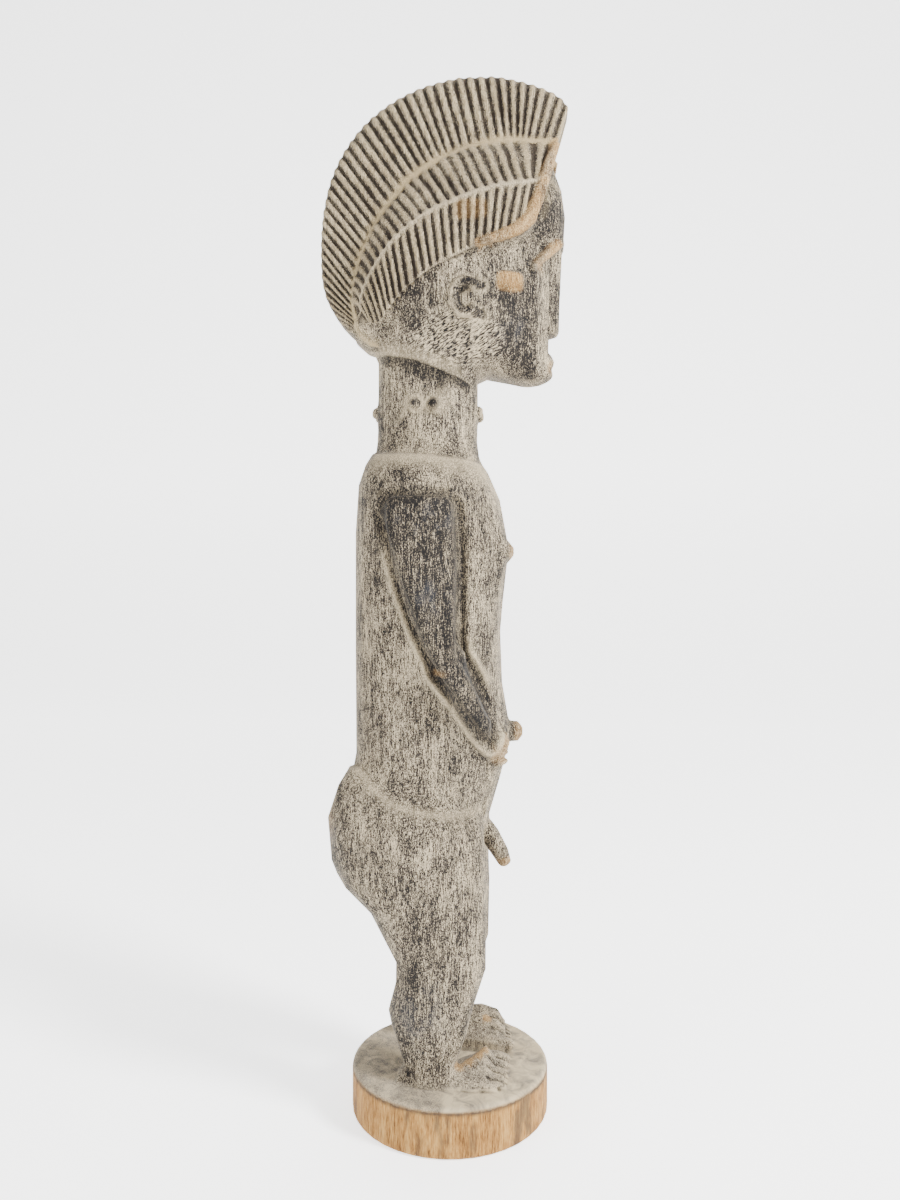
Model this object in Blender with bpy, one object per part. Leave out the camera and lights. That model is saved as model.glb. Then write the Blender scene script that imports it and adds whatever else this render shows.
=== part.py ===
# Standing male figure with a combed coiffure, carved with its round base from one block of wood.
# It faces -Y, its own left side is +X, and the origin is the centre of the base's underside.
# Metres, +Z up. The base has its own sizes. The figure's forms are shares of its own height:
# each number below is in parts, of which FIGURE_PARTS make the height from base top to crest.
import math

import bmesh
import bpy
from mathutils import Vector

FIGURE_TALL = 0.418
FIGURE_PARTS = 418
BASE_WIDTH = 0.083
BASE_HEIGHT = 0.020
BASE_EDGE = 0.0012
BASE_SIDES = 40
ROOTED = 3  # parts that legs and feet run down into the base
FLAT_WITHIN = math.radians(4.2)
OFF_CENTRE = 0.3  # parts that the hand carving strays from the middle

CHIN = 286  # height of the chin, which carries the whole head and its hair

# Each row: height above the base, back, front, half width, squareness.
TORSO = (
    (259, -31, 11.5, 19.5, 2.3),
    (256, -34.5, 12.5, 24, 2.3),
    (250, -37.5, 16, 30.5, 2.3),
    (242, -38.8, 20, 33.5, 2.4),
    (230, -40, 23.5, 33, 2.4),
    (218, -40.5, 25, 31, 2.5),
    (208, -40.5, 24.5, 30, 2.5),
    (195, -40.5, 22.5, 29, 2.5),
    (180, -40.5, 21.5, 28.5, 2.5),
    (165, -40.8, 21.8, 28, 2.5),
    (152, -40.8, 24, 28, 2.4),
    (141, -40.8, 25.8, 28, 2.4),
    (130, -40.5, 24.5, 27.5, 2.4),
    (121, -40, 21.5, 27, 2.4),
    (108, -38, 17.8, 26, 2.4),
    (95, -33, 14, 24, 2.3),
    (80, -22, 11, 16, 2.2),
)
NECK = (
    (246, -31.5, 11.5, 20, 2.3),
    (262, -31.2, 12.2, 20, 2.4),
    (CHIN - 1, -30.8, 12.2, 19.6, 2.4),
    (CHIN + 22, -30.6, 12.4, 20, 2.4),
)
# Each row adds the side place of the leg's middle line after the height, and ends with the lean
# of the section, which is how far it drops for each part forward.
LEG = (
    (122, 13.5, -34, 8, 12, 2.2, 0.34),
    (118, 14.5, -41, 13, 15, 2.2, 0.32),
    (112, 16, -46, 16, 18, 2.2, 0.26),
    (103, 17.3, -49.2, 16.6, 20, 2.2, 0.16),
    (95, 18, -49.6, 16.8, 20, 2.2, 0.08),
    (87, 18.2, -47.8, 16.8, 19, 2.2, 0),
    (79, 18.4, -42.8, 16.8, 17.6, 2.3, 0),
    (70, 18.6, -32.6, 16.8, 16.2, 2.4, 0),
    (61, 18.8, -27.6, 16.8, 15, 2.4, 0),
    (49, 19, -21.9, 16.6, 13, 2.4, 0),
    (42.5, 19.2, -20, 15.8, 12, 2.4, 0),
    (36.5, 19.5, -22.6, 12.8, 12, 2.3, 0),
    (28, 19.5, -24.4, 10.6, 12.2, 2.2, 0),
    (19, 19.3, -22.6, 8.4, 10.8, 2.2, 0),
    (9, 18.8, -18.6, 4.6, 9, 2.2, 0),
    (-ROOTED, 18.5, -17, 3.6, 8.6, 2.3, 0),
)
# Each row: side, forward, height of the arm's middle line, half breadth, half thickness.
ARM = (
    (25, -9.5, 240, 13, 6),
    (29.5, -9.5, 234, 15, 8.5),
    (31, -9.2, 221, 15.3, 8.8),
    (31.5, -7.4, 208, 13.8, 8.4),
    (32, -4.8, 192, 11.2, 7.6),
    (32, -2.2, 180, 8.6, 7),
    (31.8, 1.2, 172, 7.8, 6.6),
    (30.6, 5.4, 163, 7, 6.2),
    (28.2, 10.6, 152, 6, 5.6),
    (25, 14.6, 143.6, 5.4, 4.8),
    (21.4, 18, 137.4, 6.4, 4),
    (18, 20.4, 134.6, 6.8, 3.6),
    (15.4, 21.4, 134, 6, 3),
)
# Heights on the head, from here to EAR, are parts above the chin.
# Each row: height, lean of the section, front, cheek side, cheek set back, half width, its place, back.
HEAD = (
    (0, 0.262, 36, 7.5, 2.5, 17, -4, -26),
    (2, 0.255, 40.3, 9.5, 3.8, 20.5, -4, -34),
    (6.6, 0.225, 42, 11.4, 5, 22.3, -3, -39),
    (14, 0.170, 41.9, 12.6, 5.6, 24, -2, -43),
    (26, 0.100, 42.2, 13.2, 5.8, 25.6, 0, -44),
    (40, 0.040, 42.4, 13.4, 5.8, 26.4, 0, -43),
    (52, 0, 42.6, 13.2, 5.8, 26.2, 0, -40),
    (64, 0, 42.6, 12.6, 5.8, 24.6, 0, -36),
    (76, 0, 41.5, 11.5, 5.6, 20.5, 0, -28),
    (90, 0, 38, 8, 4, 11, 2, -14),
)
NAPE = {"forward": -29.4, "height": 25.5, "side": 19, "depth": 12.6, "above": 7.5, "below": 10.8}
FOREHEAD = {"forward": 17, "height": 69, "side": 21.5, "depth": 32.6, "above": 33, "below": 21}

# The coiffure's lines, from the forehead over the crown to the nape, as (forward, height) pairs.
# A ridge runs from the crest's line to the valley's point of the same row.
CREST_ROWS = (
    ((50.4, 117.5), (45.5, 100.6)),
    ((46.4, 122.2), (40, 100.9)),
    ((37.4, 126.8), (33, 101.2)),
    ((28.4, 129.6), (28.5, 101.6)),
    ((17.4, 131.6), (22, 101.6)),
    ((6.4, 131.6), (13, 99.6)),
    ((-8.2, 129), (2, 96)),
    ((-17.6, 125.6), (-4, 93.6)),
    ((-26.6, 120.8), (-10, 90)),
    ((-36, 113.4), (-17.5, 84.8)),
    ((-42.5, 105.8), (-23, 77.6)),
    ((-48.2, 96.4), (-29, 69.6)),
    ((-52.6, 84.4), (-34, 60)),
    ((-54.8, 71.8), (-38, 51)),
    ((-55.4, 60.6), (-40, 40)),
    ((-55.2, 49.6), (-40.4, 32.5)),
    ((-53.6, 40.4), (-39.4, 27)),
    ((-50, 32.6), (-37, 22.6)),
    ((-44.4, 25), (-34.5, 19.6)),
    ((-36, 18.8), (-30.5, 16.5)),
)
CREST_RIDGES = 44
CREST_CUT = 1.1
CREST_SMOOTH_END = 0.13  # share of the crest, at the nape, over which its cuts run out
CREST_ROOT = 4  # parts that the crest runs into the head
CREST_FRONT_ROOT = 13  # and as many more at its front end
CREST_VALLEY_SIDE = (8, 9.5, 10.5, 10)
# Share of the way down to the valley, and of the half width there. It ends under the lobes.
CREST_PROFILE = ((0, 0.40), (0.1, 0.70), (0.52, 0.88), (1.12, 1))

# Each row: valley, arris and hairline, as (side, forward, height).
LOBE_ROWS = (
    ((7.5, 44.6, 100), (17, 39.5, 80), (21.5, 36.5, 62)),
    ((8, 38, 101), (20, 36, 79), (24, 32.5, 57.6)),
    ((8.5, 28, 101.6), (23, 32.5, 77.4), (26, 28.4, 55.4)),
    ((9, 20, 101.2), (24.5, 27, 76.4), (26.8, 23, 54)),
    ((9, 9, 98.8), (25, 18.5, 75), (27.4, 17, 52)),
    ((9.4, 1.6, 96.2), (25, 11.5, 72.8), (27.8, 11, 50)),
    ((9.8, -7.8, 92), (25, 3, 70), (28, 4.5, 47)),
    ((10, -16.8, 85.4), (24.6, -6, 66.6), (28, -3, 43.4)),
    ((10.2, -23.2, 77.5), (24, -13.5, 62), (28, -9, 39.4)),
    ((10.4, -28, 72), (23.4, -19.5, 57.4), (27.4, -15.5, 34.4)),
    ((10.5, -31.2, 65), (22.6, -24.5, 52.4), (26.8, -20, 29.8)),
    ((10.6, -35.8, 56.8), (21.4, -29.5, 45.6), (25.8, -24, 25)),
    ((10.6, -39, 47), (20, -33.5, 39), (24.2, -27, 21)),
    ((10, -40.2, 40), (17.4, -35.8, 33.6), (21.4, -30.8, 22)),
    ((9, -39.6, 33.4), (13.4, -36.4, 29), (17.4, -32.6, 24.6)),
    ((7, -34.4, 30), (10, -32.4, 29), (12.6, -29.6, 28)),
)
LOBE_RIDGES = 27
LOBE_CUT = 1.0
LOBE_SWELL = 0.9
LOBE_TUCK = 1.6  # parts that its upper edge runs in under the crest
# The line inside the head that both lobes run in to.
LOBE_CORE = {"side": 2, "forward": 2, "height": 52, "narrowing": 0.7}

# Each row: side, forward, height, half breadth of the raised band along the hair's front edge.
RIM = (
    (8, 45, 99.5, 1.6),
    (13, 42.6, 91, 2.2),
    (17.5, 40, 81.5, 2.4),
    (20.6, 37.2, 71.5, 2.5),
    (23.4, 33.8, 62.5, 2.6),
    (25.8, 28.6, 57, 2.4),
    (27, 22, 54, 2),
    (27.6, 14.5, 51.8, 1.3),
)
NOSE = (
    (21.4, 45.4, 4.6),
    (23, 46.4, 4.6),
    (33, 46.6, 3.6),
    (48, 47, 2.9),
    (59, 47.8, 3),
    (66, 48.6, 3.2),
)
LIPS = (
    (2, 41.6, 4.6),
    (4.4, 43.8, 6.4),
    (7.2, 43.2, 6.8),
    (10, 44.4, 6.4),
    (12.6, 43.2, 5.4),
    (14.2, 41.8, 4.2),
)
BROW = (
    (15.4, 35, 45, 1.2),
    (12.4, 39, 50, 1.8),
    (8.6, 43.4, 55.4, 2.2),
    (5, 46.2, 59, 2.2),
    (1.4, 47.4, 60, 1.8),
)
EYE = {"forward": 26.2, "height": 39.6, "length": 12.6, "tall": 7.6, "side": 18.6, "thick": 4, "turn": 22}
EAR = {"forward": 8, "height": 31, "long": 5.6, "tall": 6.6, "side": 24.6, "thick": 3.6, "proud": 2.8}
EAR_START, EAR_END, EAR_STEPS = 40, 325, 8

SPOTS = {
    "below_chin": 11.4, "neck_middle": -9.2, "neck_depth": 21.6, "neck_width": 19.8, "size": 2.6,
    "apart": 10.5, "places": (90, 180, 270),
}
NIPPLE = {"side": 13.5, "from": 18, "to": 28.4, "height": 216, "wide": 10.5, "tip": 1.5}
NAVEL = {"from": 20, "to": 31, "height": 139.6, "wide": 7.4, "tip": 3.4}
MALE_PART = ((11, 103, 4.4), (17, 95.4, 4.2), (21.6, 87.8, 3.6), (24, 82.4, 2.6), (24.6, 80, 1.2))
FINGERS = 4
TOES = 5

# The right foot (-1) and the taller left one (1). Each row: forward, inner side, outer side,
# then the side and the height of the foot's ridge.
FOOT = {
    -1: (
        (-20, 13, 24, 18, 4),
        (-8, 9, 27, 20, 5.5),
        (4, 6, 28, 22, 6),
        (11, 4.6, 28.4, 17.5, 8.6),
        (16, 4, 28, 12, 10.6),
        (20.4, 4.2, 27.6, 12, 5),
    ),
    1: (
        (-20, 13, 24, 18, 5),
        (-8, 9, 27, 20, 10),
        (4, 6, 28, 20.5, 13.4),
        (13, 4.6, 28.4, 21, 13.8),
        (20, 4, 28, 20, 12),
        (23.4, 4.4, 27.6, 18, 8),
    ),
}
TOE = {
    "from": 15, "to": {-1: 25.4, 1: 27}, "bend": 21, "wide": 2.3, "inner": 6.6, "pitch": 4.3,
    "tall": 5.4, "fall": 0.55,
}


def spot(side, forward, height):
    part = FIGURE_TALL / FIGURE_PARTS
    return Vector((side * part, -forward * part, BASE_HEIGHT + height * part))


def on_head(side, forward, above_chin):
    return spot(side, forward, CHIN + above_chin)


def flow(rows, at):
    """Smooth value of every column at a place along the rows, with no overshoot between them."""
    last = len(rows) - 1
    index = min(max(int(at), 0), last - 1)
    share = at - index

    def steepness(column, row):
        if row in (0, last):
            return 0.0
        before = rows[row][column] - rows[row - 1][column]
        after = rows[row + 1][column] - rows[row][column]
        return 0.0 if before * after <= 0 else 2 * before * after / (before + after)

    values = []
    for column in range(len(rows[0])):
        first, second = rows[index][column], rows[index + 1][column]
        start, end = steepness(column, index), steepness(column, index + 1)
        values.append(
            first * (1 + 2 * share) * (1 - share) ** 2
            + start * share * (1 - share) ** 2
            + second * share * share * (3 - 2 * share)
            + end * share * share * (share - 1)
        )
    return values


def rounded(angle, power):
    """Point of a superellipse of half size one."""
    across, along = math.cos(angle), math.sin(angle)
    return (
        math.copysign(abs(across) ** (2 / power), across),
        math.copysign(abs(along) ** (2 / power), along),
    )


def turns(count):
    return [2 * math.pi * step / count for step in range(count)]


def loft(name, rings):
    """A closed solid through rings that have the same number of points."""
    shape = bmesh.new()
    loops = [[shape.verts.new(point) for point in ring] for ring in rings]
    for low, high in zip(loops, loops[1:]):
        for index in range(len(low)):
            after = (index + 1) % len(low)
            shape.faces.new((low[index], low[after], high[after], high[index]))
    shape.faces.new(loops[0])
    shape.faces.new(loops[-1])
    bmesh.ops.triangulate(shape, faces=shape.faces)
    bmesh.ops.recalc_face_normals(shape, faces=shape.faces)
    mesh = bpy.data.meshes.new(name)
    shape.to_mesh(mesh)
    shape.free()
    return bpy.data.objects.new(name, mesh)


def both_sides(make):
    """The two pieces that a maker gives for the figure's right and left side."""
    return [make(-1), make(1)]


def trunk():
    def ring(row, count):
        height, back, front, half, power = row
        middle, depth = (front + back) / 2, (front - back) / 2
        points = []
        for angle in turns(count):
            across, along = rounded(angle, power)
            points.append(spot(half * across, middle + depth * along, height))
        return points

    torso = loft("torso", [ring(row, 22) for row in TORSO])
    neck = loft("neck", [ring(row, 20) for row in NECK])
    return [torso, neck]


def leg(hand):
    rings = []
    for height, side, back, front, half, power, lean in LEG:
        middle, depth = (front + back) / 2, (front - back) / 2
        ring = []
        for angle in turns(16):
            across, along = rounded(angle + hand * 0.02, power)
            forward = middle + depth * along
            ring.append(spot(
                hand * side + OFF_CENTRE + half * across, forward, height - lean * (forward - middle)
            ))
        rings.append(ring)
    return loft("leg", rings)


def along_path(name, rows, count, power, out):
    """Loft of a limb: each row is side, forward, height, half breadth and half thickness."""
    rings = []
    for index, row in enumerate(rows):
        before, after = rows[max(index - 1, 0)], rows[min(index + 1, len(rows) - 1)]
        heading = (spot(*after[:3]) - spot(*before[:3])).normalized()
        thick_way = (out - heading * out.dot(heading)).normalized()
        broad_way = heading.cross(thick_way)
        part = FIGURE_TALL / FIGURE_PARTS
        middle = spot(*row[:3])
        ring = []
        for angle in turns(count):
            across, along = rounded(angle, power)
            ring.append(middle + broad_way * row[3] * part * across + thick_way * row[4] * part * along)
        rings.append(ring)
    return loft(name, rings)


def sided(rows, hand):
    return [(hand * row[0], *row[1:]) for row in rows]


def arm(hand):
    return along_path("arm", sided(ARM, hand), 10, 2.5, Vector((hand, 0, 0)))


def fingers(hand):
    """Short fingers at the end of the hand, laid on the belly towards the navel."""
    pieces = []
    for number in range(FINGERS):
        height = 139.4 - 3.5 * number
        rows = (
            (19, 19.4, height, 1.7, 3.6),
            (15, 22, height + 0.3, 1.6, 3),
            (11.6 + 0.5 * number, 23.6, height + 0.6, 1.2, 2.2),
        )
        pieces.append(along_path("finger", sided(rows, hand), 6, 2.2, Vector((hand, -1, 0))))
    return pieces


def head():
    rings = []
    for height, lean, front, cheek, setback, half, place, back in HEAD:
        profile = [(0, front), (cheek * 0.42, front - 0.5), (cheek, front - setback)]
        for share in (0.3, 0.62, 0.86):
            swell = math.sin(share * math.pi) * 0.06 * half
            profile.append((
                cheek + (half - cheek) * share + swell,
                front - setback + (place - front + setback) * share,
            ))
        for angle in (0, 22, 44, 66, 90):
            turn = math.radians(angle)
            across, along = rounded(turn, 2.2)
            profile.append((half * across, place + (back - place) * along))
        ring = [(-side, forward) for side, forward in profile[1:-1]]
        ring = profile + ring[::-1]
        rings.append([
            on_head(side, forward, height + lean * (front - forward)) for side, forward in ring
        ])
    return loft("head", rings)


def swelling(name, steps, count, middle, half, power):
    """A rounded lump: middle and the half sizes are side, forward and height."""
    rings = []
    for step in range(1, steps):
        rise = -math.cos(math.pi * step / steps)
        size = (1 - abs(rise) ** power) ** (1 / power)
        rings.append([
            on_head(
                middle[0] + half[0] * size * across,
                middle[1] + half[1] * size * along,
                middle[2] + half[2 if rise > 0 else 3] * rise,
            )
            for across, along in (rounded(angle, power) for angle in turns(count))
        ])
    return loft(name, rings)


def forehead():
    return swelling(
        "forehead", 8, 16, (OFF_CENTRE, FOREHEAD["forward"], FOREHEAD["height"]),
        (FOREHEAD["side"], FOREHEAD["depth"], FOREHEAD["above"], FOREHEAD["below"]), 2.45)


def nape():
    return swelling(
        "nape", 6, 12, (OFF_CENTRE, NAPE["forward"], NAPE["height"]),
        (NAPE["side"], NAPE["depth"], NAPE["above"], NAPE["below"]), 2.2)


def upright(name, rows, back):
    """A small upright form on the face: each row is height, front and half width."""
    rings = []
    for height, front, half in rows:
        outline = (
            (half * 0.35, front), (half * 0.85, front - 1.4), (half * 1.25, front - 4),
            (half * 1.25, back), (-half * 1.25, back),
            (-half * 1.25, front - 4), (-half * 0.85, front - 1.4), (-half * 0.35, front),
        )
        rings.append([on_head(side, forward, height) for side, forward in outline])
    return loft(name, rings)


def brow(hand):
    rows = [(side, forward, CHIN + height, half, half) for side, forward, height, half in BROW]
    return along_path("brow", sided(rows, hand), 8, 2, Vector((hand, -1, 0)))


def eye(hand):
    """A narrow raised block on the slanted side of the face."""
    turn = math.radians(EYE["turn"])
    rings = []
    for reach, shrink in ((-EYE["thick"], 1), (-0.1, 1), (0.9, 0.72)):
        ring = []
        for angle in turns(12):
            across, along = rounded(angle, 3.4)
            slide = EYE["length"] / 2 * shrink * across
            ring.append(on_head(
                hand * (EYE["side"] + reach * math.cos(turn) - slide * math.sin(turn)),
                EYE["forward"] + reach * math.sin(turn) + slide * math.cos(turn),
                EYE["height"] + EYE["tall"] / 2 * shrink * along,
            ))
        rings.append(ring)
    return loft("eye", rings)


def ear(hand):
    """A C of raised wood, open to the front."""
    rows = []
    for step in range(EAR_STEPS):
        turn = math.radians(EAR_START + (EAR_END - EAR_START) * step / (EAR_STEPS - 1))
        rows.append((
            EAR["side"],
            EAR["forward"] + EAR["long"] * math.cos(turn),
            CHIN + EAR["height"] + EAR["tall"] * math.sin(turn),
            EAR["thick"] / 2 + 0.3,
            EAR["proud"],
        ))
    return along_path("ear", sided(rows, hand), 8, 2.6, Vector((hand, 0, 0)))


def row_course(rows, column):
    """How far along the rows each of many even steps of one line's own length lies."""
    fine = 12
    flat = [tuple(value for point in row for value in point) for row in rows]
    points = [flow(flat, step / fine) for step in range((len(rows) - 1) * fine + 1)]
    lengths = [0.0]
    for before, after in zip(points, points[1:]):
        lengths.append(lengths[-1] + math.dist(before[column], after[column]))
    return flat, fine, lengths


def even_places(rows, column, count):
    """Places along the rows, evenly spaced on the line that a slice of the columns gives."""
    flat, fine, lengths = row_course(rows, column)
    places, index = [], 0
    for step in range(count + 1):
        wanted = lengths[-1] * step / count
        while index < len(lengths) - 2 and lengths[index + 1] < wanted:
            index += 1
        share = (wanted - lengths[index]) / (lengths[index + 1] - lengths[index])
        places.append((index + share) / fine)
    return flat, places


def crest():
    """The crest along the middle of the head, cut into slanting ridges on both sides."""
    flat, places = even_places(CREST_ROWS, slice(0, 2), 2 * round(CREST_RIDGES))
    spread = [(value,) for value in CREST_VALLEY_SIDE]
    rings = []
    for step, place in enumerate(places):
        forward, height, valley_forward, valley_height = flow(flat, place)
        share = step / (len(places) - 1)
        valley_side = flow(spread, share * (len(spread) - 1))[0]
        narrow = 0.85 + 0.15 * min(1, (1 - share) * 8)
        cut = CREST_CUT * min(1, (1 - share) / CREST_SMOOTH_END) if step % 2 and step > 0 else 0
        drop = Vector((valley_forward - forward, valley_height - height))
        inward = drop.normalized() * cut * 0.6
        near = []
        for fall, wide in CREST_PROFILE:
            fade = cut * (1 - fall) ** 0.3 if fall < 1 else 0
            near.append((
                valley_side * wide * narrow - fade * (0.8 if fall > 0.1 else 0.5),
                forward + drop.x * fall + (inward.x if fall < 0.2 else 0),
                height + drop.y * fall + (inward.y if fall < 0.2 else 0),
            ))
        deep = drop + drop.normalized() * (CREST_ROOT + CREST_FRONT_ROOT * max(0, 1 - share * 8))
        root = (0, forward + deep.x, height + deep.y)
        half = near + [root] + [(-side, ahead, tall) for side, ahead, tall in near[::-1]]
        rings.append([on_head(*point) for point in half])
    return loft("crest", rings)


def lobe(hand):
    """The hair over one side of the head: two combed bands that meet along an arris."""
    def inner(point):
        return Vector((LOBE_CORE["side"], point.y * LOBE_CORE["narrowing"], LOBE_CORE["height"]))

    flat, places = even_places(LOBE_ROWS, slice(3, 6), 2 * round(LOBE_RIDGES))
    rings = []
    for step, place in enumerate(places):
        numbers = flow(flat, place)
        valley, arris, line = (Vector(numbers[start:start + 3]) for start in (0, 3, 6))
        cut = LOBE_CUT if step % 2 and 0 < step < len(places) - 1 else 0
        upper_out = Vector((0.5, 0, 0.85))
        lower_out = Vector((0.97, 0, 0.1))
        middle = Vector((0, LOBE_CORE["forward"], LOBE_CORE["height"]))
        points = [
            valley - (arris - valley).normalized() * LOBE_TUCK,
            valley.lerp(arris, 0.35) + upper_out * (LOBE_SWELL * 0.8 - cut),
            valley.lerp(arris, 0.72) + upper_out * (LOBE_SWELL * 0.7 - cut),
            arris + (arris - middle).normalized() * (0.2 - cut * 0.35),
            arris.lerp(line, 0.4) + lower_out * (LOBE_SWELL * 0.6 - cut),
            arris.lerp(line, 0.85) + lower_out * (LOBE_SWELL * 0.4 - cut * 0.8),
            line,
            line.lerp(inner(line), 0.4),
            valley.lerp(inner(valley), 0.3),
        ]
        rings.append([on_head(hand * point.x, point.y, point.z) for point in points])
    return loft("lobe", rings)


def rim(hand):
    rows = [(side, forward, CHIN + height, half, half * 0.8) for side, forward, height, half in RIM]
    return along_path("rim", sided(rows, hand), 8, 2.4, Vector((hand, -0.6, 0)))


def knob(name, side, start, end, height, wide, tip, lift=0):
    """A small cone that points forward, with a rounded end."""
    rows = ((0, wide), (0.5, wide * 0.62), (0.82, tip * 1.25), (1, tip * 0.5))
    rings = []
    for share, half in rows:
        forward = start + (end - start) * share
        rings.append([
            spot(side + half * math.cos(angle), forward, height + lift * share + half * math.sin(angle))
            for angle in turns(8)
        ])
    return loft(name, rings)


def chest(hand):
    return knob("nipple", hand * NIPPLE["side"], NIPPLE["from"], NIPPLE["to"], NIPPLE["height"],
                NIPPLE["wide"], NIPPLE["tip"])


def navel():
    return knob("navel", 0, NAVEL["from"], NAVEL["to"], NAVEL["height"], NAVEL["wide"], NAVEL["tip"])


def male_part():
    rows = [(0, forward, height, half, half) for forward, height, half in MALE_PART]
    return along_path("male_part", rows, 10, 2, Vector((1, 0, 0)))


def neck_spots():
    """Pairs of small raised scars round the neck."""
    pieces = []
    for place in SPOTS["places"]:
        for way in (-1, 1):
            turn = math.radians(place + way * SPOTS["apart"])
            across, along = rounded(turn, 2.4)
            outward = Vector((across, along)).normalized()
            rings = []
            for reach, size in ((-2.5, 1), (1.2, 1), (2.2, 0.55)):
                ring = []
                for angle in turns(6):
                    slide, rise = rounded(angle, 2.8)
                    ring.append(spot(
                        SPOTS["neck_width"] * across + outward.x * reach
                        - outward.y * slide * SPOTS["size"] * size * 0.8,
                        SPOTS["neck_middle"] + SPOTS["neck_depth"] * -along - outward.y * reach
                        - outward.x * slide * SPOTS["size"] * size * 0.8,
                        CHIN - SPOTS["below_chin"] + rise * SPOTS["size"] * size,
                    ))
                rings.append(ring)
            pieces.append(loft("neck_spot", rings))
    return pieces


def foot(hand):
    rings = []
    for forward, inner, outer, ridge, tall in FOOT[hand]:
        outline = (
            (inner, -ROOTED), (inner, tall * 0.35), (inner + (ridge - inner) * 0.45, tall * 0.78),
            (ridge - 1.2, tall), (ridge + 1.2, tall * 0.96),
            (outer - (outer - ridge) * 0.4, tall * 0.62), (outer, tall * 0.25), (outer, -ROOTED),
        )
        rings.append([spot(hand * side, forward, height) for side, height in outline])
    return loft("foot", rings)


def toes(hand):
    pieces = []
    for number in range(TOES):
        side = TOE["inner"] + TOE["pitch"] * number
        tall = TOE["tall"] - TOE["fall"] * number
        reach = TOE["to"][hand] - 0.4 * number
        rows = (
            (side, TOE["from"], tall * 0.72, TOE["wide"], tall * 0.5),
            (side, TOE["bend"], tall * 0.62, TOE["wide"], tall * 0.5),
            (side, reach - 1.4, tall * 0.42, TOE["wide"] * 0.94, tall * 0.5),
            (side, reach, tall * 0.3, TOE["wide"] * 0.6, tall * 0.36),
        )
        pieces.append(along_path("toe", sided(rows, hand), 6, 2.4, Vector((0, 0, 1))))
    return pieces


def base():
    """The round foot of the block, with its edges a little broken."""
    disc = bmesh.new()
    bmesh.ops.create_cone(
        disc, cap_ends=True, segments=BASE_SIDES,
        radius1=BASE_WIDTH / 2, radius2=BASE_WIDTH / 2, depth=BASE_HEIGHT,
    )
    bmesh.ops.translate(disc, verts=disc.verts, vec=(0, 0, BASE_HEIGHT / 2))
    rims = [edge for edge in disc.edges if abs(edge.verts[0].co.z - edge.verts[1].co.z) < BASE_HEIGHT / 4]
    bmesh.ops.bevel(disc, geom=rims, offset=BASE_EDGE, segments=1, profile=0.5, affect="EDGES")
    mesh = bpy.data.meshes.new("base")
    disc.to_mesh(mesh)
    disc.free()
    return bpy.data.objects.new("base", mesh)


def wood():
    material = bpy.data.materials.new("patinated wood")
    material.use_nodes = True
    shader = material.node_tree.nodes["Principled BSDF"]
    shader.inputs["Base Color"].default_value = (0.16, 0.13, 0.10, 1)
    shader.inputs["Roughness"].default_value = 0.62
    shader.inputs["Metallic"].default_value = 0
    return material


def joined(name, pieces, collection):
    """All the pieces made one solid by Boolean unions."""
    whole, *others = pieces
    whole.name = whole.data.name = name
    collection.objects.link(whole)
    graph_collection = bpy.data.collections.new("joined in")
    bpy.context.scene.collection.children.link(graph_collection)
    for other in others:
        graph_collection.objects.link(other)
        union = whole.modifiers.new(other.name, "BOOLEAN")
        union.operation = "UNION"
        union.solver = "EXACT"
        union.object = other
        bpy.context.view_layer.update()
        evaluated = whole.evaluated_get(bpy.context.evaluated_depsgraph_get())
        merged = bpy.data.meshes.new_from_object(evaluated)
        whole.modifiers.clear()
        old = whole.data
        whole.data = merged
        bpy.data.meshes.remove(old)
        spent = other.data
        bpy.data.objects.remove(other)
        bpy.data.meshes.remove(spent)
    bpy.data.collections.remove(graph_collection)
    whole.data.name = name
    return whole


def evened(mesh):
    """Joins the slivers that the unions leave on flat faces."""
    shape = bmesh.new()
    shape.from_mesh(mesh)
    bmesh.ops.dissolve_limit(
        shape, angle_limit=FLAT_WITHIN, verts=shape.verts, edges=shape.edges, use_dissolve_boundaries=False
    )
    bmesh.ops.triangulate(shape, faces=shape.faces)
    shape.to_mesh(mesh)
    shape.free()


def build():
    for thing in list(bpy.data.objects):
        bpy.data.objects.remove(thing)
    collection = bpy.data.collections.new("spirit spouse figure")
    bpy.context.scene.collection.children.link(collection)

    pieces = [base()]
    pieces += both_sides(foot)
    for hand in (-1, 1):
        pieces += toes(hand)
    pieces += both_sides(leg)
    pieces += trunk()
    pieces += both_sides(arm)
    for hand in (-1, 1):
        pieces += fingers(hand)
    pieces += both_sides(chest) + [navel(), male_part()]
    pieces += neck_spots()
    pieces += [head(), nape(), forehead(), upright("nose", NOSE, 38), upright("lips", LIPS, 36)]
    pieces += both_sides(brow) + both_sides(eye) + both_sides(ear)
    pieces += both_sides(lobe) + [crest()] + both_sides(rim)

    figure = joined("figure", pieces, collection)
    evened(figure.data)
    figure.data.materials.clear()
    figure.data.materials.append(wood())
    figure.data.shade_smooth()
    figure.data.set_sharp_from_angle(angle=math.radians(20))


build()
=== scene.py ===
import math

import bmesh
import bpy
import numpy as np
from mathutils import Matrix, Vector, kdtree


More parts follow.
